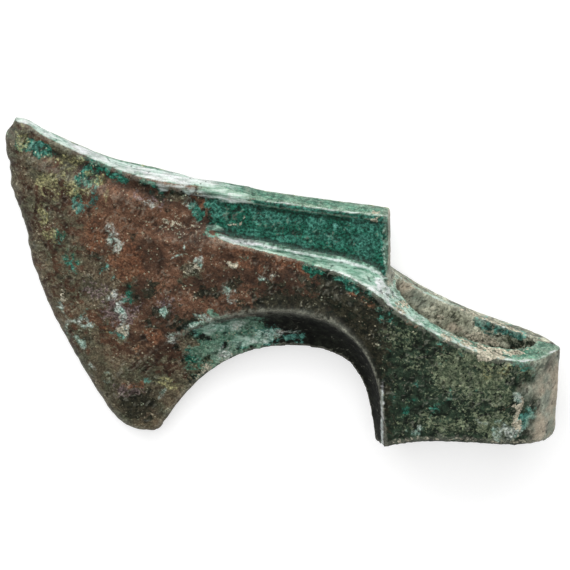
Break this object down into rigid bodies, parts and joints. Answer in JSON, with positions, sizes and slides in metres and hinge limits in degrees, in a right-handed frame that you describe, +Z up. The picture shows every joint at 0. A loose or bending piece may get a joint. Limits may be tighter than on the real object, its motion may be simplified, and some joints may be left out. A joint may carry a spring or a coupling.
{
  "type": "bronze axe head",
  "caption": "Cast bronze shaft-hole axe head with a drooping fan blade, a recessed crest, a sweeping ledge and a slanted oval socket, lying on its side.",
  "frame": {"origin": "centre of the bounding box's bottom face, on the surface the axe lies on", "axes": "+X from the cutting edge to the butt of the socket, +Y from the foot of the socket to the crest, +Z up through the thickness"},
  "size_m": [0.1658, 0.1006, 0.0301],
  "materials": {
    "bronze": "rough corroded bronze: brown metal under green, ochre and chalky white patina"
  },
  "bodies": {
    "root": {"axe_head": "bronze"}
  },
  "joints": []
}
